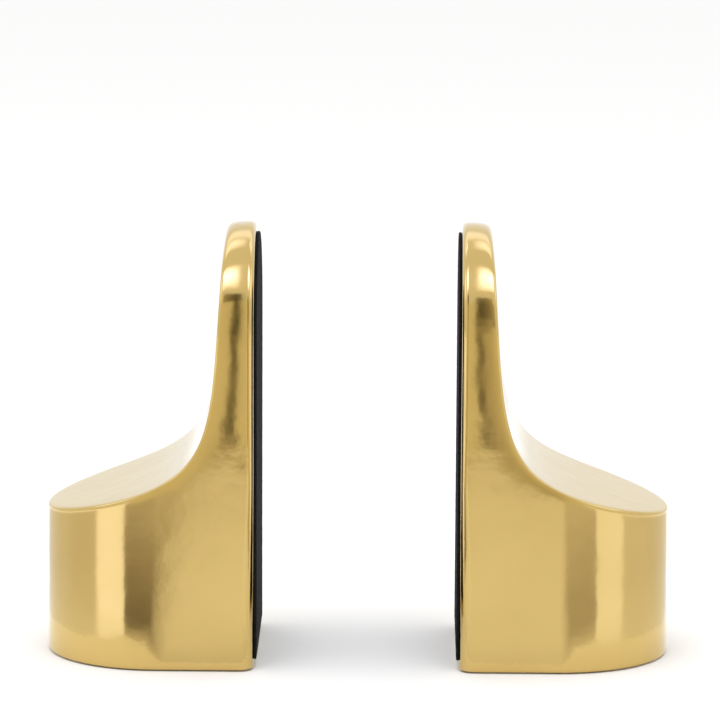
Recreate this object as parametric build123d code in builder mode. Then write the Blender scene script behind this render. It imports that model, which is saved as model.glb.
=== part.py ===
from build123d import *
import os

os.makedirs("parts", exist_ok=True)

# A pair of cast bookends, in millimetres. +Z is up, +X runs from the left bookend to the right
# one, +Y runs from the front side to the back side, and the origin is on the shelf, midway
# between the two. Every sub-part is modelled for the right-hand bookend, and the left-hand twin
# is the same sub-part turned half way round Z.

# Overall form of one bookend
HEIGHT = 170.0
LENGTH = 82.0
HALF_DEPTH = 39.0
ROUND_LENGTH = 44.0
HALF_GAP = 38.5
BOOK_FACE_FELT = 1.2
FACE_X = HALF_GAP + BOOK_FACE_FELT
ROUND_X = FACE_X + LENGTH - ROUND_LENGTH
ARCH_Z = HEIGHT - HALF_DEPTH

# The swoop from the tall upright down to the low outer lip: control points of one cubic curve,
# as distance from the book face and height. It runs a little past the casting at both ends.
SWOOP = ((11.7, 176.0), (18.1, 73.4), (10.3, 76.9), (88.0, 57.1))

# Edges of the casting
BOOK_EDGE_RADIUS = 4.0
SWOOP_EDGE_RADIUS = 1.2
RIM_EDGE_RADIUS = 0.8

# Levels from the shelf up, and the walls of the hollow casting. The roof of the hollow follows
# the swoop through this many spans, and the hollow stops at the core's top inside the upright.
BASE_FELT = 1.6
PLATE = 2.0
RIM_Z = 0.5
LEDGE_Z = BASE_FELT + PLATE
WALL = 5.0
RIM_WIDTH = 2.5
CORE_TOP_Z = 108.0
ROOF_SPANS = 8
SECTION_MARGIN = 10.0
PLATE_INSET = RIM_WIDTH + 0.1
FELT_INSET = RIM_WIDTH + 0.2

# Face felt, cut to the flat part of the book face
FACE_FELT_INSET = BOOK_EDGE_RADIUS + 0.2
FACE_FELT_BOTTOM_Z = 4.0

# Countersunk M4 screws that hold the base plate, two beside the book face and one at the round end
SCREW_MARGIN = 9.5
SCREW_SPOTS = (
    (FACE_X + SCREW_MARGIN, SCREW_MARGIN - HALF_DEPTH),
    (FACE_X + SCREW_MARGIN, HALF_DEPTH - SCREW_MARGIN),
    (FACE_X + LENGTH - SCREW_MARGIN, 0.0),
)
SCREW_BOSS_RADIUS = 5.0
SCREW_RADIUS = 2.0
SCREW_LENGTH = 12.0
SCREW_HEAD_RADIUS = 3.75
SCREW_SOCKET = 2.5
SCREW_SOCKET_DEPTH = 1.2
SCREW_HOLE_DEPTH = 13.0
FIT_CLEARANCE = 0.05

# Iron ballast, hung from a boss in the roof of the casting by one M6 bolt
BALLAST_X = (FACE_X + 18.5, FACE_X + 63.5)
BALLAST_HALF_DEPTH = 27.0
BALLAST_Z = (8.0, 40.0)
BALLAST_EDGE = 1.5
BOLT_X = FACE_X + 38.0
BOLT_BOSS_RADIUS = 7.0
BOLT_RADIUS = 3.0
BOLT_LENGTH = 38.0
BOLT_HEAD_HEIGHT = 4.0
BOLT_HEAD_ACROSS_FLATS = 10.0
BOLT_HOLE_DEPTH = 16.0
BALLAST_HOLE_RADIUS = 3.3
COUNTERBORE_RADIUS = 8.0
COUNTERBORE_DEPTH = 8.0
WASHER_RADIUS = 6.0
WASHER_HOLE_RADIUS = 3.2
WASHER_THICKNESS = 1.6
SEAT_Z = BALLAST_Z[0] + COUNTERBORE_DEPTH
BOLT_UNDERHEAD_Z = SEAT_Z - WASHER_THICKNESS


def d_plan(inset):
    """The D-shaped plan of the bookend: a straight book face and sides, and a round outer end."""
    half_depth = HALF_DEPTH - inset
    with BuildSketch() as plan:
        with BuildLine():
            Polyline(
                (ROUND_X, half_depth),
                (FACE_X + inset, half_depth),
                (FACE_X + inset, -half_depth),
                (ROUND_X, -half_depth),
            )
            EllipticalCenterArc(
                (ROUND_X, 0), ROUND_LENGTH - inset, half_depth, start_angle=-90, arc_size=180
            )
        make_face()
    return plan.sketch


def arch(inset, bottom_z):
    """The round-topped outline of the upright, across the depth and up."""
    radius = HALF_DEPTH - inset
    with BuildSketch() as outline:
        with BuildLine():
            Polyline(
                (-radius, ARCH_Z),
                (-radius, bottom_z),
                (radius, bottom_z),
                (radius, ARCH_Z),
            )
            ThreePointArc((radius, ARCH_Z), (0, ARCH_Z + radius), (-radius, ARCH_Z))
        make_face()
    return outline.sketch


with BuildLine() as swoop_profile:
    Bezier(*[(FACE_X + u, z) for u, z in SWOOP])


def inside_swoop(t):
    """The point one wall thickness inside the swoop, at the share t of its length from the top."""
    inward = (swoop_profile.line % t).rotate(Axis.Z, -90)
    return swoop_profile.line @ t + inward * WALL


with BuildLine() as roof_profile:
    Spline(*[inside_swoop(i / ROOF_SPANS) for i in range(ROOF_SPANS + 1)])


def under(line):
    """The region under a side profile, seen from the front. Only the profile itself cuts metal."""
    start = line @ 0
    end = line @ 1
    with BuildSketch() as region:
        with BuildLine():
            add(line)
            Polyline(
                end,
                (end.X, -SECTION_MARGIN),
                (FACE_X - SECTION_MARGIN, -SECTION_MARGIN),
                (FACE_X - SECTION_MARGIN, start.Y),
                start,
            )
        make_face()
    return region.sketch


def make_core():
    """The hollow inside the casting, with the screw bosses and the bolt boss left standing."""
    with BuildPart() as core:
        with BuildSketch(Plane.XY.offset(LEDGE_Z)):
            add(d_plan(WALL))
        extrude(amount=CORE_TOP_Z - LEDGE_Z)
        with BuildSketch(Plane.XZ.offset(-2 * HALF_DEPTH)):
            add(under(roof_profile.line))
        extrude(amount=4 * HALF_DEPTH, mode=Mode.INTERSECT)
        with BuildSketch(Plane.XY.offset(LEDGE_Z)):
            with Locations(*SCREW_SPOTS):
                Circle(SCREW_BOSS_RADIUS)
            for spot, side_wall in zip(SCREW_SPOTS, (Align.MAX, Align.MIN)):
                with Locations(spot):
                    Rectangle(SCREW_BOSS_RADIUS, SCREW_BOSS_RADIUS, align=(Align.MAX, side_wall))
        extrude(amount=HEIGHT, mode=Mode.SUBTRACT)
        with BuildSketch(Plane.XY.offset(BALLAST_Z[1])):
            with Locations((BOLT_X, 0)):
                Circle(BOLT_BOSS_RADIUS)
        extrude(amount=HEIGHT, mode=Mode.SUBTRACT)
    return core.part


def make_cast_body():
    """The hollow casting: a D-shaped foot that sweeps up into a round-topped upright."""
    with BuildPart() as cast_body:
        with BuildSketch(Plane.XY.offset(RIM_Z)):
            add(d_plan(0))
        extrude(amount=HEIGHT)
        with BuildSketch(Plane.XZ.offset(-2 * HALF_DEPTH)):
            add(under(swoop_profile.line))
        extrude(amount=4 * HALF_DEPTH, mode=Mode.INTERSECT)
        with BuildSketch(Plane.YZ.offset(FACE_X)):
            add(arch(0, RIM_Z))
        extrude(amount=LENGTH, mode=Mode.INTERSECT)

        book_face = cast_body.faces().sort_by(Axis.X)[0]
        fillet(book_face.edges().filter_by(lambda e: e.center().Z > WALL), BOOK_EDGE_RADIUS)
        swoop_face = cast_body.faces().filter_by(GeomType.EXTRUSION).sort_by(SortBy.AREA)[-1]
        fillet(swoop_face.edges(), SWOOP_EDGE_RADIUS)
        rim = cast_body.faces().sort_by(Axis.Z)[0]
        fillet(rim.edges(), RIM_EDGE_RADIUS)

        with BuildSketch(Plane.XY.offset(RIM_Z)):
            add(d_plan(RIM_WIDTH))
        extrude(amount=LEDGE_Z - RIM_Z, mode=Mode.SUBTRACT)
        add(make_core(), mode=Mode.SUBTRACT)
        with BuildSketch(Plane.XY.offset(LEDGE_Z)):
            with Locations(*SCREW_SPOTS):
                Circle(SCREW_RADIUS + FIT_CLEARANCE)
        extrude(amount=SCREW_HOLE_DEPTH, mode=Mode.SUBTRACT)
        with BuildSketch(Plane.XY.offset(BALLAST_Z[1])):
            with Locations((BOLT_X, 0)):
                Circle(BOLT_RADIUS + FIT_CLEARANCE)
        extrude(amount=BOLT_HOLE_DEPTH, mode=Mode.SUBTRACT)
    return cast_body.part


def make_face_felt():
    """The felt liner on the book face, cut to the flat part inside the rounded edge."""
    with BuildPart() as face_felt:
        with BuildSketch(Plane.YZ.offset(HALF_GAP)):
            add(arch(FACE_FELT_INSET, FACE_FELT_BOTTOM_Z))
        extrude(amount=BOOK_FACE_FELT)
    return face_felt.part


def make_ballast_weight():
    """The iron block that keeps the bookend from tipping or sliding, counterbored from below."""
    round_centre_x = BALLAST_X[1] - BALLAST_HALF_DEPTH
    with BuildPart() as ballast_weight:
        with BuildSketch(Plane.XY.offset(BALLAST_Z[0])):
            with BuildLine():
                Polyline(
                    (round_centre_x, BALLAST_HALF_DEPTH),
                    (BALLAST_X[0], BALLAST_HALF_DEPTH),
                    (BALLAST_X[0], -BALLAST_HALF_DEPTH),
                    (round_centre_x, -BALLAST_HALF_DEPTH),
                )
                ThreePointArc(
                    (round_centre_x, -BALLAST_HALF_DEPTH),
                    (BALLAST_X[1], 0),
                    (round_centre_x, BALLAST_HALF_DEPTH),
                )
            make_face()
        extrude(amount=BALLAST_Z[1] - BALLAST_Z[0])
        chamfer(ballast_weight.faces().sort_by(Axis.Z)[-1].edges(), BALLAST_EDGE)
        chamfer(ballast_weight.faces().sort_by(Axis.Z)[0].edges(), BALLAST_EDGE)
        underside = Plane(origin=(BOLT_X, 0, BALLAST_Z[0]), z_dir=(0, 0, -1))
        with Locations(underside):
            CounterBoreHole(BALLAST_HOLE_RADIUS, COUNTERBORE_RADIUS, COUNTERBORE_DEPTH)
    return ballast_weight.part


def make_ballast_bolt():
    """The M6 hexagon-head bolt, head down, through the ballast into the boss in the roof."""
    with BuildPart() as ballast_bolt:
        with BuildSketch(Plane.XY.offset(BOLT_UNDERHEAD_Z - BOLT_HEAD_HEIGHT)):
            with Locations((BOLT_X, 0)):
                RegularPolygon(BOLT_HEAD_ACROSS_FLATS / 2, 6, major_radius=False)
        extrude(amount=BOLT_HEAD_HEIGHT)
        with BuildSketch(Plane.XY.offset(BOLT_UNDERHEAD_Z)):
            with Locations((BOLT_X, 0)):
                Circle(BOLT_RADIUS)
        extrude(amount=BOLT_LENGTH)
        chamfer(ballast_bolt.faces().sort_by(Axis.Z)[-1].edges(), BOLT_RADIUS / 5)
    return ballast_bolt.part


def make_ballast_washer():
    """The plain washer between the bolt's head and the ballast."""
    with BuildPart() as ballast_washer:
        with BuildSketch(Plane.XY.offset(BOLT_UNDERHEAD_Z)):
            with Locations((BOLT_X, 0)):
                Circle(WASHER_RADIUS)
                Circle(WASHER_HOLE_RADIUS, mode=Mode.SUBTRACT)
        extrude(amount=WASHER_THICKNESS)
    return ballast_washer.part


def make_base_plate():
    """The steel plate that closes the casting from below, countersunk for its three screws."""
    with BuildPart() as base_plate:
        with BuildSketch(Plane.XY.offset(BASE_FELT)):
            add(d_plan(PLATE_INSET))
        extrude(amount=PLATE)
        for x, y in SCREW_SPOTS:
            underside = Plane(origin=(x, y, BASE_FELT), z_dir=(0, 0, -1))
            with Locations(underside):
                CounterSinkHole(SCREW_RADIUS + FIT_CLEARANCE, SCREW_HEAD_RADIUS + FIT_CLEARANCE)
    return base_plate.part


def make_base_screws():
    """Three countersunk M4 screws with hexagon sockets, heads flush with the base plate."""
    head_height = SCREW_HEAD_RADIUS - SCREW_RADIUS
    with BuildPart() as base_screws:
        with BuildSketch(Plane.XY.offset(BASE_FELT)):
            with Locations(*SCREW_SPOTS):
                Circle(SCREW_RADIUS)
        extrude(amount=SCREW_LENGTH)
        for x, y in SCREW_SPOTS:
            with Locations((x, y, BASE_FELT)):
                Cone(
                    SCREW_HEAD_RADIUS,
                    SCREW_RADIUS,
                    head_height,
                    align=(Align.CENTER, Align.CENTER, Align.MIN),
                )
        with BuildSketch(Plane.XY.offset(BASE_FELT)):
            with Locations(*SCREW_SPOTS):
                RegularPolygon(SCREW_SOCKET / 2, 6, major_radius=False)
        extrude(amount=SCREW_SOCKET_DEPTH, mode=Mode.SUBTRACT)
    return base_screws.part


def make_base_felt():
    """The felt pad under the plate, standing proud of the casting's rim."""
    with BuildPart() as base_felt:
        with BuildSketch(Plane.XY):
            add(d_plan(FELT_INSET))
        extrude(amount=BASE_FELT)
    return base_felt.part


PIECES = {
    "cast_body": make_cast_body(),
    "face_felt": make_face_felt(),
    "ballast_weight": make_ballast_weight(),
    "ballast_bolt": make_ballast_bolt(),
    "ballast_washer": make_ballast_washer(),
    "base_plate": make_base_plate(),
    "base_screws": make_base_screws(),
    "base_felt": make_base_felt(),
}
SIDES = {"right": 0.0, "left": 180.0}

for side, turn in SIDES.items():
    for name, shape in PIECES.items():
        with BuildPart() as piece:
            add(shape, rotation=(0, 0, turn))
        piece.part.label = f"{side}_{name}"
        export_step(piece.part, f"parts/{side}_{name}.step")
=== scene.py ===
import math

import bmesh
import bpy
import numpy as np
from mathutils import Matrix, Vector, noise


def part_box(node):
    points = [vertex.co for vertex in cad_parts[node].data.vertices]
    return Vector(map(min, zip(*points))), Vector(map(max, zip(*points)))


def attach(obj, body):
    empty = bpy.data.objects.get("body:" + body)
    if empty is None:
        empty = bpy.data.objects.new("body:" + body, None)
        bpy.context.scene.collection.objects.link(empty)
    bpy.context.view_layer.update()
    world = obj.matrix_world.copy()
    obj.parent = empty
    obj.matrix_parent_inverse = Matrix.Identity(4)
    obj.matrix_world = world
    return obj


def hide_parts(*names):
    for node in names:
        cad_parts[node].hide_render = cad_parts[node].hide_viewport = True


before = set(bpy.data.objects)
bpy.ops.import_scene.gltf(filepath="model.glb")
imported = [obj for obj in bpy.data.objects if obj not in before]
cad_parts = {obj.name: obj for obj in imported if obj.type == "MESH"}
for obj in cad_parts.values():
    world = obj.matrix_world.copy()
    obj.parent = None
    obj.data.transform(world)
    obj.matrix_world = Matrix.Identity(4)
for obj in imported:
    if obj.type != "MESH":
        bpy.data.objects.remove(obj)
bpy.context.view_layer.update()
MM = 0.001

# The casting's form, measured in metres from the corner where its book face meets the shelf:
# u runs out from the book face, v across the depth and z up. The swoop is a cubic, given by its four
# control points in u and z. The left bookend is the right one turned half way round Z.
CAST_LOW, CAST_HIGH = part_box("right_cast_body")
FACE_X = CAST_LOW.x
LENGTH = CAST_HIGH.x - CAST_LOW.x
HALF_DEPTH = CAST_HIGH.y
RIM_Z = CAST_LOW.z
HEIGHT = 170.0 * MM
ROUND_LENGTH = 44.0 * MM
STRAIGHT = LENGTH - ROUND_LENGTH
ARCH_Z = HEIGHT - HALF_DEPTH
SWOOP = np.array([(11.7, 176.0), (18.1, 73.4), (10.3, 76.9), (88.0, 57.1)]) * MM
RIM_WIDTH = 2.5 * MM

# The casting's edges. The book face's edge is rounder at the foot than up the upright. The swoop's
# edge is crisp up to the bend and softer over the top of the arch. The upright's sides are crowned,
# and the crown goes on a little past their edges, in shares of half their width.
FOOT_BOOK_EDGE = 5.5 * MM
UPRIGHT_BOOK_EDGE = 2.4 * MM
BOOK_EDGE_CHANGES_Z = (15.0 * MM, 75.0 * MM)
RIM_EDGE = 0.8 * MM
SWOOP_SOFTNESS = 0.45 * MM
ARCH_SOFTNESS = 0.60 * MM
TOP_SOFTNESS = 1.7 * MM
ARCH_SOFTNESS_Z = ARCH_Z + 24.0 * MM
CROWN = 0.30 * MM
CROWNED_FROM_Z = 66.0 * MM
CROWNED_FULLY_Z = 102.0 * MM
CROWN_REACH = 1.1

# The casting's mesh: how many lines and cells it has, and how fine the cells are at its edges
ARCH_LINES = 60
BEND_LINES = 96
BEND_LINES_TO_CORNER = BEND_LINES * 2 // 3
ROUND_LINES = 60
CORNER_CROWDING = 1.6
WALL_CELLS = 44
FACE_CELLS = 60
FINEST = 0.22 * MM
RING_INSETS = np.array([0.25, 0.5, 0.8, 1.1, 1.6]) * MM
CASTING_SHARP_ANGLE = math.radians(40)

# How closely the form is worked out. The nearest point of the swoop is looked for among a few points
# and then refined in steps. On the casting's middle line the wall's slope is taken just off it.
SWOOP_POINTS = 4001
NEAREST_POINTS = 161
NEAREST_STEPS = 3
SETTLE_STEPS = 5
SLOPE_STEP = 0.002 * MM
OFF_THE_MIDDLE = 1e-4 * MM
WELD_DECIMALS = 9
SAME_PLACE = 0.001 * MM
RIM_WIDTH_TOLERANCE = 0.1 * MM
CUT_BELOW_RIM = 1.0 * MM

# The felts. Their relief is lowered, so that it stays within the thickness. The edge's profile gives
# insets and heights as shares of the thickness, and its first rings have no relief.
FELT_EDGE_RAGGED = 0.22 * MM
FELT_RAGS = ((400, 1.0), (1300, 0.5))  # waves of noise per metre, and how strong each is
FELT_RELIEF = 0.07 * MM
FELT_RELIEF_WAVES = 700
FELT_RELIEF_SINKS = 0.9
FELT_STEP = 1.0 * MM
FELT_PROFILE = ((0.12, 0.0), (0.0, 0.12), (0.0, 0.5), (0.03, 0.8), (0.15, 0.95), (0.45, 1.0))
FELT_LEVEL_RINGS = 3
FELT_SHARP_ANGLE = math.radians(60)
FACE_FELT_SEED = 3.0
BASE_FELT_SEED = 11.0


# ---------------------------------------------------------------- camera and studio

CAMERA_AT = Vector((0.0181, -1.7, 0.4478))
CAMERA_LOOKS_AT = Vector((0.0005, 0.0, 0.1155))
CAMERA_ROLL = math.radians(0.295)
CAMERA_LENS = 222.4
CAMERA_SEES_TO = 20.0
KEY_LIGHT_AT = (-0.2, -0.3, 1.5)
KEY_LIGHT_TILT = math.radians(-10)
KEY_LIGHT_WIDTH = 1.4
KEY_LIGHT_DEPTH = 1.0
KEY_LIGHT_POWER = 9.0
FLOOR_REACH = 6.0
NOISE_SPAN = (0.3, 0.7)

# The room is white. The metal also mirrors cards that nothing else sees: some stand or hang, and a
# fan of them lies on the table round each bookend. Their radiances are shares of the table's.
TABLE_WHITE = 1.08
CARD_COLOURS = (  # dim cards are warm and lamps are cool: radiance and colour
    (0.0, (1.0, 0.84, 0.66)),
    (1.0, (1.0, 1.0, 1.0)),
    (1.5, (0.98, 1.0, 1.22)),
    (3.0, (0.95, 1.0, 1.9)),
)
TABLE_CARD_Z = 0.3 * MM
FLAG_AWAY = 0.41
FLAG_TINT = (1.0, 0.97, 0.80)
FLAGS = {  # from x and z, to x and z, radiance at either upright edge
    "left_bar_end": ((-0.22, 0.38), (-0.082, 0.475), (0.60, 0.15)),
    "left_bar": ((-0.082, 0.38), (-0.034, 0.475), (0.10, 0.10)),
    "left_stand": ((-0.081, 0.10), (-0.045, 0.38), (0.0, 0.0)),
    "left_stand_leg": ((-0.081, 0.012), (-0.045, 0.10), (0.16, 0.08)),
    "left_stand_foot": ((-0.081, 0.0), (-0.045, 0.012), (0.60, 0.40)),
    "left_field": ((-0.30, 0.0), (-0.081, 0.38), (0.88, 0.84)),
    "inner_field": ((-0.045, 0.0), (0.044, 0.38), (0.87, 0.87)),
    "right_stand": ((0.044, 0.01), (0.065, 0.12), (0.05, 0.12)),
    "right_shade": ((0.065, 0.0), (0.135, 0.12), (0.52, 0.76)),
    "right_field": ((0.135, 0.0), (0.30, 0.17), (0.78, 0.88)),
    "right_neck": ((0.044, 0.12), (0.135, 0.17), (0.22, 0.66)),
    "right_shoulder": ((0.044, 0.17), (0.135, 0.23), (0.12, 0.56)),
    "right_head": ((0.044, 0.23), (0.135, 0.38), (0.0, 0.40)),
    "right_head_end": ((0.135, 0.17), (0.30, 0.38), (0.40, 0.88)),
    "right_bar": ((0.045, 0.38), (0.078, 0.44), (0.05, 0.20)),
    "right_bar_end": ((0.078, 0.38), (0.20, 0.44), (0.20, 0.75)),
}
FAN_STATIONS = (0.0, 0.06, 0.2, 0.45, 1.0)  # how far along each border its radiances are
FAN = (  # each border's near end, its far end in front, its far end behind, and its radiances
    ((0.0, 0.052), (0.0, 0.56), (0.0, 0.56), (0.84, 0.98, 1.05, 0.99, 0.86)),
    ((0.076, 0.052), (0.068, 0.56), (0.086, 0.56), (0.84, 0.98, 1.05, 0.99, 0.86)),
    ((0.090, 0.078), (0.092, 0.56), (0.105, 0.56), (0.8, 0.25, 0.36, 0.60, 0.80)),
    ((0.1155, 0.080), (0.412, 0.56), (0.120, 0.56), (0.8, 0.25, 0.36, 0.58, 0.80)),
    ((0.1175, 0.080), (0.415, 0.56), (0.123, 0.56), (1.3, 1.48, 1.45, 1.45, 1.45)),
    ((0.137, 0.060), (0.79, 0.468), (0.35, 0.50), (1.3, 1.48, 1.45, 1.45, 1.45)),
    ((0.145, 0.055), (0.80, 0.42), (0.45, 0.48), (0.96, 0.90, 0.83, 0.83, 1.60)),
    ((0.165, 0.0), (0.80, 0.0), (0.80, 0.0), (0.96, 0.90, 0.83, 0.83, 1.60)),
)
RIGHT_CONTRAST = 0.6
BACK_CONTRAST = 0.8
RIGHT_TURN = math.radians(5.0)
SOFTBOXES = {  # centre, width, depth and how much brighter than the room it is in the middle
    "left_front_box": ((-0.26, -0.34, 0.76), 0.43, 0.42, 1.9),
    "right_front_box": ((0.26, -0.34, 0.76), 0.43, 0.42, 1.9),
    "left_back_box": ((-0.26, 0.22, 0.72), 0.43, 0.20, 0.8),
    "right_back_box": ((0.26, 0.22, 0.72), 0.43, 0.20, 0.8),
    "rear_box": ((0.0, 0.40, 0.66), 1.20, 0.26, 0.45),
    "left_box": ((-0.80, -0.16, 0.62), 0.55, 0.60, 0.9),
    "right_box": ((0.80, -0.16, 0.62), 0.55, 0.60, 0.9),
}
SUBJECT = Vector((0.0, 0.0, 0.1))
SOFTBOX_CELLS = 12
SOFTBOX_FADES_ACROSS = 6  # powers: the higher, the nearer its edges a soft box stays bright
SOFTBOX_FADES_IN_DEPTH = 2


def add_object(name, data):
    """A new object in the scene."""
    made = bpy.data.objects.new(name, data)
    bpy.context.scene.collection.objects.link(made)
    return made


def make_camera():
    """The camera at the photograph's viewing angle: a long lens from in front and a little above."""
    data = bpy.data.cameras.new("camera")
    data.lens = CAMERA_LENS
    data.clip_end = CAMERA_SEES_TO
    camera = add_object("camera", data)
    aim = (CAMERA_LOOKS_AT - CAMERA_AT).to_track_quat("-Z", "Y").to_matrix().to_4x4()
    roll = Matrix.Rotation(CAMERA_ROLL, 4, "Z")
    camera.matrix_world = Matrix.Translation(CAMERA_AT) @ aim @ roll
    bpy.context.scene.camera = camera


def socket_name(name):
    """An argument's name as the node's socket has it."""
    return name.replace("_", " ").title().replace("Ior", "IOR")


class Shader:
    """A material under construction.

    add() makes a node, link() joins two sockets, and set() sets the surface's own sockets.
    """

    def __init__(self, name):
        self.material = bpy.data.materials.new(name)
        self.material.use_nodes = True
        self.tree = self.material.node_tree
        self.surface = self.tree.nodes["Principled BSDF"]

    def add(self, kind, **values):
        node = self.tree.nodes.new(kind)
        for name, value in values.items():
            if hasattr(node, name):
                setattr(node, name, value)
            else:
                node.inputs[socket_name(name)].default_value = value
        return node

    def link(self, output, socket):
        self.tree.links.new(output, socket)

    def set(self, **values):
        for name, value in values.items():
            self.surface.inputs[socket_name(name)].default_value = value

    def place(self, stretch=(1, 1, 1)):
        """Object coordinates in metres, stretched."""
        mapping = self.add("ShaderNodeMapping")
        mapping.inputs["Scale"].default_value = stretch
        self.link(self.add("ShaderNodeTexCoord").outputs["Object"], mapping.inputs["Vector"])
        return mapping.outputs["Vector"]

    def noise(self, size, detail=3.0, roughness=0.5, stretch=(1, 1, 1)):
        """A noise whose patches are about this size, in metres."""
        texture = self.add("ShaderNodeTexNoise", scale=1 / size, detail=detail, roughness=roughness)
        self.link(self.place(stretch), texture.inputs["Vector"])
        return texture.outputs["Fac"]

    def ramp(self, value, stops):
        """Colours along a value: stops are (position, colour)."""
        node = self.add("ShaderNodeValToRGB")
        ramp = node.color_ramp
        while len(ramp.elements) < len(stops):
            ramp.elements.new(0.5)
        for element, (position, colour) in zip(ramp.elements, stops):
            element.position = position
            element.color = (*colour, 1)
        self.link(value, node.inputs["Fac"])
        return node.outputs["Color"]

    def span(self, value, low, high):
        """A noise's usual values, NOISE_SPAN, turned into values from low to high."""
        node = self.add("ShaderNodeMapRange")
        for name, number in zip(("From Min", "From Max", "To Min", "To Max"), (*NOISE_SPAN, low, high)):
            node.inputs[name].default_value = number
        self.link(value, node.inputs["Value"])
        return node.outputs["Result"]

    def bump(self, height, depth, after=None):
        """A bump of this depth in metres, on top of another bump."""
        node = self.add("ShaderNodeBump")
        node.inputs["Distance"].default_value = depth
        self.link(height, node.inputs["Height"])
        if after is not None:
            self.link(after, node.inputs["Normal"])
        return node.outputs["Normal"]


def card_light():
    """A light as strong and as coloured as the card's own attribute says, point by point."""
    material = bpy.data.materials.new("card_light")
    material.use_nodes = True
    tree = material.node_tree
    tree.nodes.clear()
    colour = tree.nodes.new("ShaderNodeAttribute")
    colour.attribute_name = "light"
    light = tree.nodes.new("ShaderNodeEmission")
    tree.links.new(colour.outputs["Color"], light.inputs["Color"])
    output = tree.nodes.new("ShaderNodeOutputMaterial")
    tree.links.new(light.outputs["Emission"], output.inputs["Surface"])
    return material


def make_card(name, points, faces, radiances, material, own_tint=(1, 1, 1)):
    """A studio card that only reflections see, with a radiance at each point and a tint of its own."""
    mesh = bpy.data.meshes.new(name)
    mesh.from_pydata([tuple(point) for point in points], [], faces)
    known, colours = zip(*CARD_COLOURS)
    tint = np.stack([np.interp(radiances, known, channel) for channel in zip(*colours)], axis=1)
    light = np.ones((len(radiances), 4))
    light[:, :3] = TABLE_WHITE * np.array(radiances)[:, None] * tint * own_tint
    mesh.attributes.new("light", "FLOAT_COLOR", "POINT").data.foreach_set("color", light.ravel())
    mesh.materials.append(material)
    card = add_object(name, mesh)
    card.visible_camera = False
    card.visible_diffuse = False
    card.visible_shadow = False


def grid_faces(rows, columns):
    """The faces between the points of a grid, which are listed row by row."""
    return [
        (start + i, start + i + 1, start + columns + i + 1, start + columns + i)
        for start in range(0, columns * (rows - 1), columns)
        for i in range(columns - 1)
    ]


def make_fan(name, x_sign, behind, contrast, turn, material):
    """The cards that lie on the table in one quarter of it, joined into one sheet.

    The sheet is turned about the middle of the bookend's round end.
    """
    y_sign = 1 if behind else -1
    spin = Matrix.Rotation(turn, 2)
    centre = Vector((FACE_X + STRAIGHT, 0))
    points, radiances = [], []
    for near, far_in_front, far_behind, values in FAN:
        far = far_behind if behind else far_in_front
        for share, value in zip(FAN_STATIONS, values):
            x, y = centre + spin @ (Vector(near).lerp(Vector(far), share) - centre)
            points.append((x_sign * x, y_sign * y, TABLE_CARD_Z))
            radiances.append(1 + (value - 1) * contrast)
    make_card(name, points, grid_faces(len(FAN), len(FAN_STATIONS)), radiances, material)


def make_softbox(name, centre, width, depth, extra, material):
    """A lamp behind cloth, tilted forwards or back towards the subject and brightest in the middle."""
    away = centre - SUBJECT
    turn = Matrix.Rotation(math.atan2(-away.y, away.z), 3, "X")
    shares = np.linspace(-1, 1, SOFTBOX_CELLS + 1)
    points = [centre + turn @ Vector((x * width / 2, y * depth / 2, 0)) for y in shares for x in shares]
    radiances = [
        1 + extra * (1 - x**SOFTBOX_FADES_ACROSS) * (1 - y**SOFTBOX_FADES_IN_DEPTH)
        for y in shares
        for x in shares
    ]
    make_card(name, points, grid_faces(len(shares), len(shares)), radiances, material)


def make_cards():
    """The flags that stand in front, the soft boxes that hang above and the fans on the table."""
    light = card_light()
    for name, ((x_from, z_from), (x_to, z_to), (from_light, to_light)) in FLAGS.items():
        outline = (x_from, z_from), (x_to, z_from), (x_to, z_to), (x_from, z_to)
        corners = [(x, -FLAG_AWAY, z) for x, z in outline]
        radiances = [from_light, to_light, to_light, from_light]
        make_card(name, corners, [(0, 1, 2, 3)], radiances, light, FLAG_TINT)
    for name, (centre, width, depth, extra) in SOFTBOXES.items():
        make_softbox(name, Vector(centre), width, depth, extra, light)
    for side, x_sign, contrast, turn in (("left", -1, 1.0, 0.0), ("right", 1, RIGHT_CONTRAST, -RIGHT_TURN)):
        make_fan(f"{side}_front_fan", x_sign, False, contrast, turn, light)
        make_fan(f"{side}_back_fan", x_sign, True, BACK_CONTRAST, 0.0, light)


def make_floor():
    """The plain pale table top."""
    mesh = bpy.data.meshes.new("floor")
    corners = [(x * FLOOR_REACH, y * FLOOR_REACH, 0) for x, y in ((-1, -1), (1, -1), (1, 1), (-1, 1))]
    mesh.from_pydata(corners, [], [(0, 1, 2, 3)])
    shader = Shader("floor_paper")
    shader.set(base_color=(0.95, 0.95, 0.945, 1), roughness=0.9)
    mesh.materials.append(shader.material)
    floor = add_object("floor", mesh)


def make_studio():
    """A white room round the table, with one soft key light from overhead and the studio cards."""
    world = bpy.data.worlds.new("studio")
    world.use_nodes = True
    world.node_tree.nodes["Background"].inputs["Color"].default_value = (1, 1, 1, 1)
    world.node_tree.nodes["Background"].inputs["Strength"].default_value = 1.0
    bpy.context.scene.world = world
    bpy.context.scene.view_settings.view_transform = "Standard"

    data = bpy.data.lights.new("key_light", "AREA")
    data.shape = "RECTANGLE"
    data.size = KEY_LIGHT_WIDTH
    data.size_y = KEY_LIGHT_DEPTH
    data.energy = KEY_LIGHT_POWER
    key = add_object("key_light", data)
    key.matrix_world = Matrix.Translation(KEY_LIGHT_AT) @ Matrix.Rotation(KEY_LIGHT_TILT, 4, "X")
    key.visible_camera = False
    key.visible_glossy = False
    make_cards()


# ---------------------------------------------------------------- materials

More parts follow.
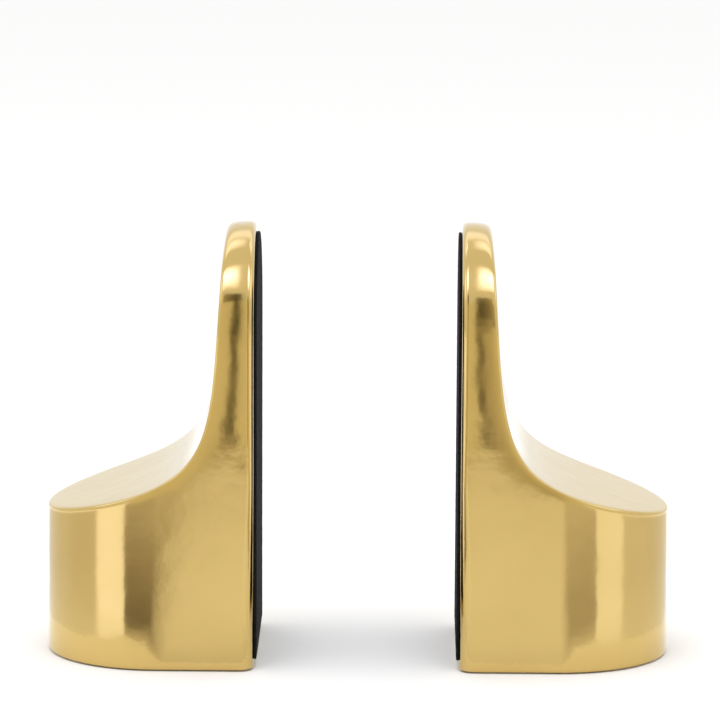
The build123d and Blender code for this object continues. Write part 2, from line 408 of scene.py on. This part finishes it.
def plated_casting():
    """Satin brass plating under clear lacquer, polished by hand in level strokes."""
    shader = Shader("satin_brass")
    patches = shader.noise(size=30 * MM, detail=2)
    tone = shader.ramp(patches, [(0.3, (0.60, 0.418, 0.120)), (0.7, (0.63, 0.442, 0.132))])
    shader.link(tone, shader.surface.inputs["Base Color"])
    shader.set(metallic=1.0, anisotropic=0.3, coat_weight=1.0, coat_roughness=0.12)
    shader.set(specular_tint=(1.0, 0.97, 0.82, 1))
    smears = shader.noise(size=12 * MM, detail=4, stretch=(0.35, 0.35, 1))
    shader.link(shader.span(smears, 0.10, 0.14), shader.surface.inputs["Roughness"])
    tangent = shader.add("ShaderNodeTangent", direction_type="UV_MAP", uv_map="polish")
    shader.link(tangent.outputs["Tangent"], shader.surface.inputs["Tangent"])
    ripples = shader.bump(shader.noise(size=17 * MM, detail=0), 0.16 * MM)
    waves = shader.bump(shader.noise(size=7 * MM, detail=0), 0.06 * MM, after=ripples)
    hand_polish = shader.bump(shader.noise(size=3 * MM, detail=1), 0.02 * MM, after=waves)
    shader.link(hand_polish, shader.surface.inputs["Normal"])
    shader.link(hand_polish, shader.surface.inputs["Coat Normal"])
    return shader.material


def black_felt():
    """Pressed black felt: matted fibres, with a slight sheen and a little lint."""
    shader = Shader("pressed_felt")
    fibres = shader.noise(size=0.5 * MM, detail=5, roughness=0.7)
    tone = shader.ramp(
        fibres, [(0.3, (0.003, 0.0025, 0.0025)), (0.55, (0.008, 0.007, 0.007)), (0.72, (0.05, 0.046, 0.044))]
    )
    shader.link(tone, shader.surface.inputs["Base Color"])
    shader.link(shader.span(fibres, 0.85, 1.0), shader.surface.inputs["Roughness"])
    shader.set(sheen_weight=0.02, sheen_roughness=0.6, specular_ior_level=0.06)
    shader.link(shader.bump(fibres, 0.12 * MM), shader.surface.inputs["Normal"])
    return shader.material


def cast_iron():
    """Grey iron as it came from the sand mould."""
    shader = Shader("sand_cast_iron")
    grain = shader.noise(size=0.9 * MM, detail=6, roughness=0.65)
    tone = shader.ramp(grain, [(0.3, (0.045, 0.043, 0.042)), (0.7, (0.11, 0.107, 0.105))])
    shader.link(tone, shader.surface.inputs["Base Color"])
    shader.link(shader.span(grain, 0.5, 0.75), shader.surface.inputs["Roughness"])
    shader.set(metallic=0.7)
    shader.link(shader.bump(grain, 0.15 * MM), shader.surface.inputs["Normal"])
    return shader.material


def zinc_steel():
    """Zinc-plated steel, with a faint spangle and rolling marks."""
    shader = Shader("zinc_plated_steel")
    spangle = shader.add("ShaderNodeTexVoronoi", scale=1 / (2.5 * MM))
    shader.link(shader.place(), spangle.inputs["Vector"])
    tone = shader.ramp(spangle.outputs["Color"], [(0.0, (0.50, 0.52, 0.55)), (1.0, (0.62, 0.635, 0.65))])
    shader.link(tone, shader.surface.inputs["Base Color"])
    scratches = shader.noise(size=0.4 * MM, detail=3, stretch=(0.04, 1, 1))
    shader.link(shader.span(scratches, 0.28, 0.42), shader.surface.inputs["Roughness"])
    shader.set(metallic=1.0)
    shader.link(shader.bump(scratches, 0.004 * MM), shader.surface.inputs["Normal"])
    return shader.material


# ---------------------------------------------------------------- the casting's form

def swoop_curve(t):
    """Points, first and second derivatives of the swoop's cubic at t, which runs from 0 to 1."""
    a, b, c, d = SWOOP
    t = np.asarray(t)[:, None]
    point = (1 - t) ** 3 * a + 3 * (1 - t) ** 2 * t * b + 3 * (1 - t) * t**2 * c + t**3 * d
    first = 3 * ((1 - t) ** 2 * (b - a) + 2 * (1 - t) * t * (c - b) + t**2 * (d - c))
    second = 6 * ((1 - t) * (c - 2 * b + a) + t * (d - 2 * c + b))
    return point, first, second


def swoop_offset(u, z):
    """How far each point stands out of the swoop: negative inside the metal."""
    here = np.stack([u, z], axis=1)
    samples = np.linspace(0, 1, NEAREST_POINTS)
    line = swoop_curve(samples)[0]
    gaps = (u[:, None] - line[:, 0]) ** 2 + (z[:, None] - line[:, 1]) ** 2
    t = samples[gaps.argmin(axis=1)]
    for _ in range(NEAREST_STEPS):
        point, first, second = swoop_curve(t)
        miss = ((point - here) * first).sum(axis=1)
        slope = (first**2).sum(axis=1) + ((point - here) * second).sum(axis=1)
        t = np.clip(t - miss / slope, 0, 1)
    point, first, _ = swoop_curve(t)
    away = here - point
    return (away[:, 1] * first[:, 0] - away[:, 0] * first[:, 1]) / np.linalg.norm(first, axis=1)


def wall_offset(u, v, z):
    """How far each point stands out of the sides, the round end and the arched top."""
    x = np.maximum(u - STRAIGHT, 0)
    y = np.abs(v) + OFF_THE_MIDDLE
    ratio = np.hypot(x / ROUND_LENGTH, y / HALF_DEPTH)
    slope = np.hypot(x / ROUND_LENGTH**2, y / HALF_DEPTH**2)
    plan = ratio * (ratio - 1) / slope
    arch = np.hypot(v, z - ARCH_Z) - HALF_DEPTH
    return np.where(z > ARCH_Z, arch, plan)


def round_max(a, b, radius):
    """The larger of two offsets, with a round corner of this radius between them."""
    x, y = a + radius, b + radius
    return np.hypot(np.maximum(x, 0), np.maximum(y, 0)) + np.minimum(np.maximum(x, y), 0) - radius


def soft_max(a, b, softness):
    """The larger of two offsets, with a hand-softened corner that tails off along both faces."""
    return (a + b + np.sqrt((a - b) ** 2 + 4 * softness**2)) / 2


def casting_offset(points):
    """How far each point stands out of the finished casting, edges rounded."""
    u, v, z = points.T
    changes_z = [ARCH_Z, ARCH_SOFTNESS_Z, HEIGHT]
    softness = np.interp(z, changes_z, [SWOOP_SOFTNESS, ARCH_SOFTNESS, TOP_SOFTNESS])
    rise = np.clip((z - CROWNED_FROM_Z) / (CROWNED_FULLY_Z - CROWNED_FROM_Z), 0, 1)
    crown = CROWN * rise**2 * (3 - 2 * rise)
    swoop = swoop_offset(u, z)
    lean = np.clip((u + swoop) / np.maximum(u - swoop, MM), -CROWN_REACH, CROWN_REACH)
    wall = wall_offset(u, v, z) + crown * lean**2
    book_edge = np.interp(z, BOOK_EDGE_CHANGES_Z, [FOOT_BOOK_EDGE, UPRIGHT_BOOK_EDGE])
    body = soft_max(round_max(wall, -u, book_edge), swoop, softness)
    return round_max(body, RIM_Z - z, RIM_EDGE)


def settle(points, offset):
    """Moves points on to the surface where the offset is nothing, straight down its slope."""
    for _ in range(SETTLE_STEPS):
        height = offset(points)
        rises = [offset(points + axis) - offset(points - axis) for axis in np.eye(3) * SLOPE_STEP]
        slope = np.stack(rises, axis=1) / (2 * SLOPE_STEP)
        points = points - (height / (slope**2).sum(axis=1))[:, None] * slope
    return points


def graded(cells, length):
    """Shares of a length from 0 to 1, crowded towards both ends."""
    share = np.linspace(0, 1, cells + 1)
    crowded = share**3 * (share * (6 * share - 15) + 10)
    evenness = min(1.0, FINEST * cells / max(length, FINEST))
    return evenness * share + (1 - evenness) * crowded


def casting_lines():
    """The lines that cross each side: swoop end, foot end and half width of each, as arrays.

    Lines over the arch are level, lines round the end are upright, and those between fan out.
    """
    fine = swoop_curve(np.linspace(0, 1, SWOOP_POINTS))[0]

    arch_angle = np.linspace(math.pi / 2, 0, ARCH_LINES, endpoint=False)
    arch_z = ARCH_Z + HALF_DEPTH * np.sin(arch_angle)
    arch_u = np.interp(-arch_z, -fine[:, 1], fine[:, 0])

    first_u = np.interp(-ARCH_Z, -fine[:, 1], fine[:, 0])
    bend = fine[(fine[:, 1] <= ARCH_Z) & (fine[:, 0] <= STRAIGHT)]
    run = np.concatenate([[0], np.cumsum(np.linalg.norm(np.diff(bend, axis=0), axis=1))])
    along = np.linspace(0, run[-1], BEND_LINES, endpoint=False)
    bend_u, bend_z = (np.interp(along, run, bend[:, i]) for i in (0, 1))
    bend_u[0], bend_z[0] = first_u, ARCH_Z

    to_corner = BEND_LINES_TO_CORNER
    beyond = BEND_LINES - to_corner
    down = 1 - (1 - np.arange(to_corner) / to_corner) ** CORNER_CROWDING
    out = (np.arange(beyond) / beyond) ** CORNER_CROWDING
    foot_u = np.concatenate([0 * down, STRAIGHT * out])
    foot_z = np.concatenate([ARCH_Z + (RIM_Z - ARCH_Z) * down, RIM_Z + 0 * out])

    end_angle = np.linspace(0, math.pi / 2, ROUND_LINES + 1)
    end_u = STRAIGHT + ROUND_LENGTH * np.sin(end_angle)
    end_z = np.interp(end_u, fine[:, 0], fine[:, 1])

    return {
        "swoop_u": np.concatenate([arch_u, bend_u, end_u]),
        "swoop_z": np.concatenate([arch_z, bend_z, end_z]),
        "foot_u": np.concatenate([0 * arch_u, foot_u, end_u]),
        "foot_z": np.concatenate([arch_z, foot_z, RIM_Z + 0 * end_z]),
        "half": np.concatenate(
            [HALF_DEPTH * np.cos(arch_angle), HALF_DEPTH + 0 * bend_u, HALF_DEPTH * np.cos(end_angle)]
        ),
        "round_run": np.concatenate([0 * arch_u, 0 * bend_u, ROUND_LENGTH * end_angle]),
        "corner": ARCH_LINES + to_corner,
    }


def face_outwards(mesh):
    """Turns the faces of a closed mesh to face outwards."""
    working = bmesh.new()
    working.from_mesh(mesh)
    bmesh.ops.recalc_face_normals(working, faces=working.faces)
    working.to_mesh(mesh)
    working.free()


class Patchwork:
    """Collects grids of points with their polish directions, and joins them into one mesh."""

    def __init__(self):
        self.points, self.uvs, self.faces, self.count = [], [], [], 0

    def add(self, points, uvs):
        rows, columns = points.shape[:2]
        index = self.count + np.arange(rows * columns).reshape(rows, columns)
        self.points.append(points.reshape(-1, 3))
        self.uvs.append(uvs.reshape(-1, 2))
        self.count += rows * columns
        corners = index[:-1, :-1], index[1:, :-1], index[1:, 1:], index[:-1, 1:]
        self.faces += np.stack([c.ravel() for c in corners], axis=1).tolist()
        return index

    def add_cap(self, loop):
        self.faces.append(loop)

    def build(self, name, offset):
        """One closed mesh, with its points settled on the surface where the offset is nothing."""
        points, uvs = np.concatenate(self.points), np.concatenate(self.uvs)
        welded, place = np.unique(np.round(points, WELD_DECIMALS), axis=0, return_inverse=True)
        place = place.ravel()
        welded = settle(welded, offset)
        faces, corner_uvs = [], []
        for face in self.faces:
            kept = [i for n, i in enumerate(face) if place[i] != place[face[n - 1]]]
            if len(kept) > 2:
                faces.append([int(place[i]) for i in kept])
                corner_uvs += [uvs[i] for i in kept]
        mesh = bpy.data.meshes.new(name)
        mesh.from_pydata(welded.tolist(), [], faces)
        layer = mesh.uv_layers.new(name="polish")
        layer.data.foreach_set("uv", np.array(corner_uvs).ravel())
        face_outwards(mesh)
        return mesh


def casting_skin():
    """The outside of the casting, as if it were solid, in u, v and z."""
    lines = casting_lines()
    count = len(lines["half"])
    patchwork = Patchwork()

    spans = np.hypot(lines["swoop_u"] - lines["foot_u"], lines["swoop_z"] - lines["foot_z"])
    share = np.stack([graded(WALL_CELLS, span) for span in spans])
    wall_u = lines["swoop_u"][:, None] * (1 - share) + lines["foot_u"][:, None] * share
    wall_z = lines["swoop_z"][:, None] * (1 - share) + lines["foot_z"][:, None] * share
    wall_v = np.repeat(lines["half"][:, None], WALL_CELLS + 1, axis=1)
    around = np.minimum(wall_u, STRAIGHT) + lines["round_run"][:, None]
    walls = []
    for side in (-1, 1):
        wall = np.stack([wall_u, side * wall_v, wall_z], axis=2)
        walls.append(patchwork.add(wall, np.stack([-side * around, wall_z], axis=2)))

    across = np.stack([2 * graded(FACE_CELLS, 2 * half) - 1 for half in lines["half"]])
    swoop_v = lines["half"][:, None] * across
    steps_down = np.hypot(np.diff(lines["swoop_u"]), np.diff(lines["swoop_z"]))
    down = np.concatenate([[0], np.cumsum(steps_down)])
    spread = [np.repeat(lines[name][:, None], FACE_CELLS + 1, axis=1) for name in ("swoop_u", "swoop_z")]
    down = np.repeat(-down[:, None], FACE_CELLS + 1, axis=1)
    patchwork.add(np.stack([spread[0], swoop_v, spread[1]], axis=2), np.stack([swoop_v, down], axis=2))

    rows = lines["corner"] + 1
    face_z = np.repeat(lines["foot_z"][:rows, None], FACE_CELLS + 1, axis=1)
    face_v = swoop_v[:rows]
    book_face_points = np.stack([0 * face_v, face_v, face_z], axis=2)
    book_face = patchwork.add(book_face_points, np.stack([-face_v, face_z], axis=2))

    front = walls[0][lines["corner"]:count, -1]
    back = walls[1][lines["corner"]:count, -1]
    loop = np.concatenate([front[:-1], back[:0:-1], book_face[-1, :0:-1]])
    points = np.concatenate(patchwork.points)[loop]
    middle = np.array([LENGTH / 2, 0, 0])
    rings = []
    for inset in np.concatenate([[0], RING_INSETS]):
        shrink = np.array([1 - inset / (LENGTH / 2), 1 - inset / HALF_DEPTH, 1])
        rings.append((points - middle) * shrink + middle)
    rings = np.stack(rings)
    closed = np.concatenate([rings, rings[:, :1]], axis=1)
    index = patchwork.add(closed, closed[:, :, :2])
    patchwork.add_cap(index[-1, :-1].tolist())
    return patchwork.build("casting_skin", casting_offset)


def hollow_of(node):
    """What is missing inside the casting, as a closed mesh: the CAD node's inner faces, capped."""
    hollow = bmesh.new()
    hollow.from_mesh(bpy.data.objects[node].data)
    bmesh.ops.remove_doubles(hollow, verts=hollow.verts, dist=SAME_PLACE)
    hollow.verts.index_update()
    places = np.array([vert.co for vert in hollow.verts]) - (FACE_X, 0, 0)
    u, v, z = places.T
    depth = -np.maximum(np.maximum(wall_offset(u, v, z), -u), swoop_offset(u, z))
    inner = depth > RIM_WIDTH - RIM_WIDTH_TOLERANCE
    outer_faces = [face for face in hollow.faces if not all(inner[vert.index] for vert in face.verts)]
    bmesh.ops.delete(hollow, geom=outer_faces, context="FACES")
    rim = [edge for edge in hollow.edges if edge.is_boundary]
    wall = bmesh.ops.extrude_edge_only(hollow, edges=rim)["geom"]
    below = [item for item in wall if isinstance(item, bmesh.types.BMVert)]
    bmesh.ops.translate(hollow, verts=below, vec=(0, 0, -CUT_BELOW_RIM))
    lower_rim = [item for item in wall if isinstance(item, bmesh.types.BMEdge) and item.is_boundary]
    bmesh.ops.contextual_create(hollow, geom=lower_rim)
    bmesh.ops.recalc_face_normals(hollow, faces=hollow.faces)
    mesh = bpy.data.meshes.new(f"{node}_hollow")
    hollow.to_mesh(mesh)
    hollow.free()
    return mesh


def casting_mesh():
    """The right-hand casting in the frame's coordinates: the skin with the hollow taken out."""
    skin = casting_skin()
    skin.transform(Matrix.Translation((FACE_X, 0, 0)))
    solid = add_object("casting_solid", skin)
    cutter = add_object("casting_hollow", hollow_of("right_cast_body"))
    cut = solid.modifiers.new("hollow", "BOOLEAN")
    cut.operation = "DIFFERENCE"
    cut.solver = "EXACT"
    cut.object = cutter
    hollowed = solid.evaluated_get(bpy.context.evaluated_depsgraph_get())
    finished = bpy.data.meshes.new_from_object(hollowed)
    finished.name = "casting"
    for helper in (solid, cutter):
        bpy.data.objects.remove(helper)
    finished.shade_smooth()
    finished.set_sharp_from_angle(angle=CASTING_SHARP_ANGLE)
    return finished


# ---------------------------------------------------------------- felts

def arch_outline(half_width, bottom_z):
    """The round-topped outline of a face felt, as (v, z) points about a step apart."""
    side = np.arange(bottom_z, ARCH_Z, FELT_STEP)
    turn = np.arange(0, math.pi, FELT_STEP / half_width)
    bottom = np.arange(-half_width, half_width, FELT_STEP)
    return np.concatenate(
        [
            np.stack([half_width + 0 * side, side], axis=1),
            np.stack([half_width * np.cos(turn), ARCH_Z + half_width * np.sin(turn)], axis=1),
            np.stack([-half_width + 0 * side, side[::-1]], axis=1),
            np.stack([bottom, bottom_z + 0 * bottom], axis=1)[1:],
        ]
    )


def plan_outline(inset):
    """The D-shaped outline of a base felt, as (u, v) points about a step apart."""
    half = HALF_DEPTH - inset
    side = np.arange(inset, STRAIGHT, FELT_STEP)
    turn = np.arange(-math.pi / 2, math.pi / 2, FELT_STEP / half)
    book = np.arange(half, -half, -FELT_STEP)
    return np.concatenate(
        [
            np.stack([side, -half + 0 * side], axis=1),
            np.stack([STRAIGHT + (ROUND_LENGTH - inset) * np.cos(turn), half * np.sin(turn)], axis=1),
            np.stack([side[::-1], half + 0 * side], axis=1),
            np.stack([inset + 0 * book, book], axis=1)[1:],
        ]
    )


def felt_mesh(name, outline, thickness, place, seed):
    """A cut sheet of felt: a slightly ragged edge, and an outer face with matted relief.

    The place function turns points in the sheet and their height above its glued face into the
    frame's coordinates.
    """
    low, high = outline.min(axis=0), outline.max(axis=0)
    centre, reach = (low + high) / 2, (high - low) / 2
    ragged = np.array(
        [
            sum(share * noise.noise(Vector((p * waves, q * waves, seed))) for waves, share in FELT_RAGS)
            for p, q in outline
        ]
    )
    ragged = FELT_EDGE_RAGGED * (ragged - ragged.max())
    rings = [(inset * thickness, height * thickness) for inset, height in FELT_PROFILE]
    rings += [(inset, thickness) for inset in np.arange(2 * FELT_STEP, reach.min(), FELT_STEP)]
    corners, faces = [], []
    count = len(outline)
    for number, (inset, height) in enumerate(rings):
        shrink = 1 - (inset - ragged[:, None]) / reach
        ring = centre + (outline - centre) * shrink
        for p, q in ring:
            if number < FELT_LEVEL_RINGS:
                lift = 0
            else:
                matted = noise.noise(Vector((p * FELT_RELIEF_WAVES, q * FELT_RELIEF_WAVES, seed)))
                lift = FELT_RELIEF * (matted - FELT_RELIEF_SINKS)
            corners.append(place(p, q, height + lift))
        if number:
            start = (number - 1) * count
            faces += [
                (start + i, start + (i + 1) % count, start + count + (i + 1) % count, start + count + i)
                for i in range(count)
            ]
    faces.append(list(range(count))[::-1])
    faces.append(list(range(len(corners) - count, len(corners))))
    mesh = bpy.data.meshes.new(name)
    mesh.from_pydata(corners, [], faces)
    face_outwards(mesh)
    mesh.shade_smooth()
    mesh.set_sharp_from_angle(angle=FELT_SHARP_ANGLE)
    return mesh


# ---------------------------------------------------------------- assembly

make_camera()
make_floor()
make_studio()

MATERIALS = {
    "plated_casting": plated_casting(),
    "black_felt": black_felt(),
    "cast_iron_ballast": cast_iron(),
    "zinc_steel": zinc_steel(),
}
HARDWARE = {
    "ballast_weight": "cast_iron_ballast",
    "ballast_bolt": "zinc_steel",
    "ballast_washer": "zinc_steel",
    "base_plate": "zinc_steel",
    "base_screws": "zinc_steel",
}
TURNS = {"right": 0.0, "left": math.pi}

FACE_FELT_LOW, FACE_FELT_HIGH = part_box("right_face_felt")
BASE_FELT_LOW, BASE_FELT_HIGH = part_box("right_base_felt")
FACE_FELT_HALF = FACE_FELT_HIGH.y
FACE_FELT_BOTTOM = FACE_FELT_LOW.z
FACE_FELT_THICKNESS = FACE_FELT_HIGH.x - FACE_FELT_LOW.x
BASE_FELT_INSET = BASE_FELT_LOW.x - FACE_X
BASE_FELT_THICKNESS = BASE_FELT_HIGH.z

right_casting = casting_mesh()

for side, turn in TURNS.items():
    spin = Matrix.Rotation(turn, 4, "Z")
    body = f"{side}_bookend"

    mesh = right_casting.copy()
    mesh.name = f"{side}_casting"
    mesh.transform(spin)
    mesh.materials.clear()
    mesh.materials.append(MATERIALS["plated_casting"])
    casting = add_object(f"{side}_casting", mesh)
    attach(casting, body)
    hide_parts(f"{side}_cast_body")

    face_felt_mesh = felt_mesh(
        f"{side}_book_felt",
        arch_outline(FACE_FELT_HALF, FACE_FELT_BOTTOM),
        FACE_FELT_THICKNESS,
        lambda v, z, height: spin @ Vector((FACE_X - height, v, z)),
        seed=FACE_FELT_SEED + turn,
    )
    book_felt = add_object(f"{side}_book_felt", face_felt_mesh)
    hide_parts(f"{side}_face_felt")

    base_felt_mesh = felt_mesh(
        f"{side}_foot_felt",
        plan_outline(BASE_FELT_INSET),
        BASE_FELT_THICKNESS,
        lambda u, v, height: spin @ Vector((FACE_X + u, v, BASE_FELT_THICKNESS - height)),
        seed=BASE_FELT_SEED + turn,
    )
    foot_felt = add_object(f"{side}_foot_felt", base_felt_mesh)
    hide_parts(f"{side}_base_felt")

    for felt in (book_felt, foot_felt):
        felt.data.materials.append(MATERIALS["black_felt"])
        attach(felt, body)

    for name, slot in HARDWARE.items():
        for place in bpy.data.objects[f"{side}_{name}"].material_slots:
            place.material = MATERIALS[slot]
